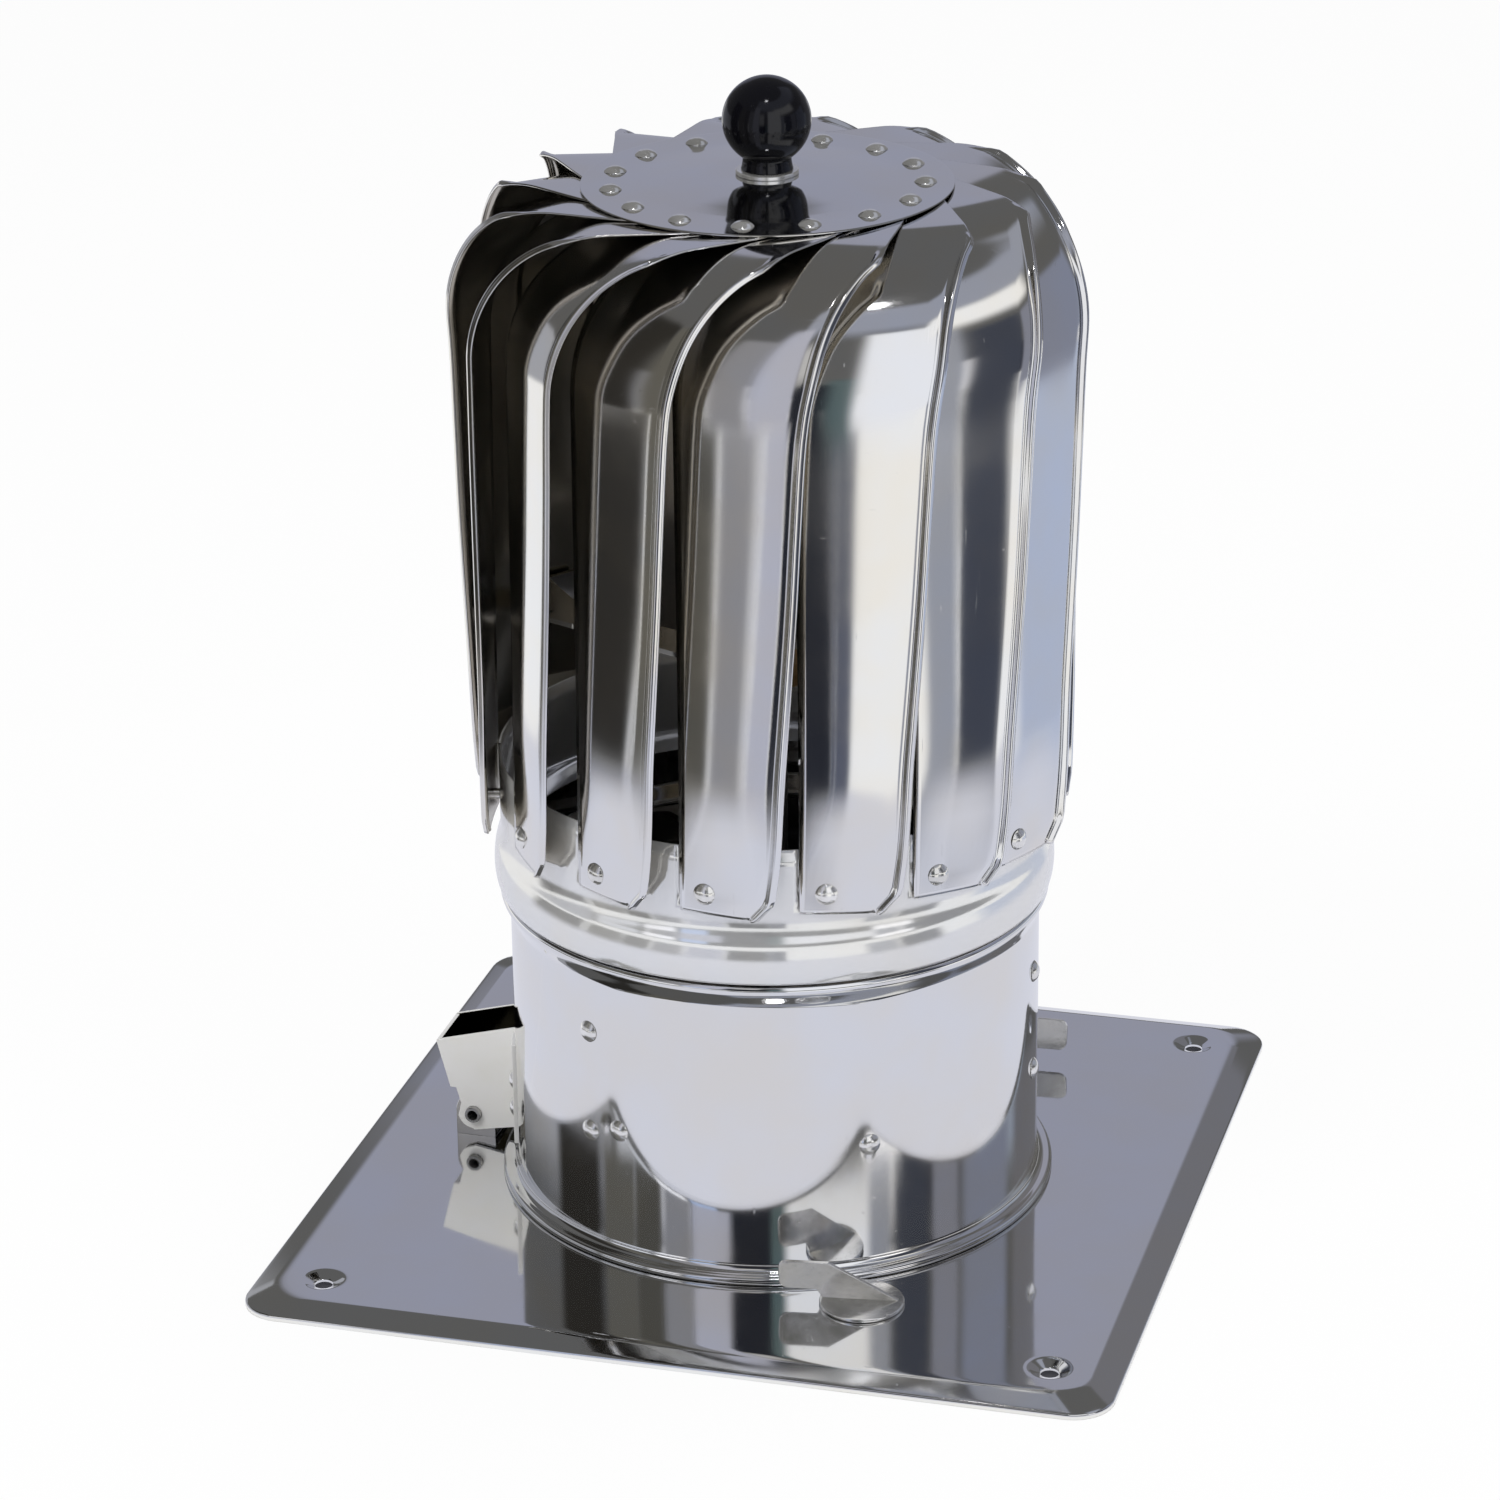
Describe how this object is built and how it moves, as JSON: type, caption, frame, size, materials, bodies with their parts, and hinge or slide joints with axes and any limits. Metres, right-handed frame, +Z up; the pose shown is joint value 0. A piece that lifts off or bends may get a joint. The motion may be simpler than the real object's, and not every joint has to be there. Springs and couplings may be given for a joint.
{
  "type": "chimney cowl",
  "caption": "Wind-turned chimney cowl in polished steel sheet: a bladed turbine head on a round collar, hinged to a square base plate with two turn latches and a ball knob.",
  "frame": {"origin": "centre of the base plate's underside", "axes": "+Z up along the flue and the turbine's axle, -Y to the front, hinge at -X, the two turn latches at +X"},
  "size_m": [0.25, 0.25, 0.3326],
  "materials": {
    "polished_stainless": "mirror polished stainless sheet",
    "plain_steel": "plain cold-rolled or turned steel, satin",
    "black_knob": "black moulded ball, high gloss",
    "bronze_bush": "oiled sintered bush",
    "cast_aluminium": "turned, dull",
    "slide_plastic": "plain white slide pad"
  },
  "bodies": {
    "base": {"base_plate": "polished_stainless", "hinge_leaf": "plain_steel", "leaf_rivets": "plain_steel"},
    "latch_front_body": {"latch_front": "plain_steel", "latch_front_retainer": "plain_steel"},
    "latch_back_body": {"latch_back": "plain_steel", "latch_back_retainer": "plain_steel"},
    "cowl_body": {"collar_tube": "polished_stainless", "hinge_bracket": "plain_steel", "hinge_pin": "plain_steel", "bracket_rivets": "plain_steel", "axle_carrier": "plain_steel", "carrier_rivets": "plain_steel", "guide_lugs": "plain_steel", "lug_rivets": "plain_steel", "axle": "plain_steel", "axle_nuts": "plain_steel", "axle_washers": "plain_steel", "axle_clip": "plain_steel"},
    "turbine": {"ball_knob": "black_knob", "bearing_hub": "cast_aluminium", "blade_01": "polished_stainless", "blade_02": "polished_stainless", "blade_03": "polished_stainless", "blade_04": "polished_stainless", "blade_05": "polished_stainless", "blade_06": "polished_stainless", "blade_07": "polished_stainless", "blade_08": "polished_stainless", "blade_09": "polished_stainless", "blade_10": "polished_stainless", "blade_11": "polished_stainless", "blade_12": "polished_stainless", "blade_13": "polished_stainless", "blade_14": "polished_stainless", "blade_15": "polished_stainless", "disc_rivets": "plain_steel", "foot_rivets": "plain_steel", "hub_bush": "bronze_bush", "knob_stud": "plain_steel", "knob_washer": "plain_steel", "lower_ring": "polished_stainless", "spider_bush": "bronze_bush", "thrust_pad": "slide_plastic", "top_disc": "polished_stainless", "turbine_spider": "plain_steel"}
  },
  "joints": [
    {"name": "cowl_hinge", "type": "hinge", "parent": "base", "child": "cowl_body", "pos_m": [-0.091, 0, 0.012], "axis": [0, -1, 0], "range_deg": [0, 75]},
    {"name": "turbine_spin", "type": "hinge", "parent": "cowl_body", "child": "turbine", "pos_m": [0, 0, 0.158], "axis": [0, 0, 1], "continuous": true},
    {"name": "latch_front_turn", "type": "hinge", "parent": "base", "child": "latch_front_body", "pos_m": [0.04629, -0.08181, 0.004], "axis": [0, 0, 1], "range_deg": [-26, 90]},
    {"name": "latch_back_turn", "type": "hinge", "parent": "base", "child": "latch_back_body", "pos_m": [0.04629, 0.08181, 0.004], "axis": [0, 0, 1], "range_deg": [-78, 60]}
  ]
}
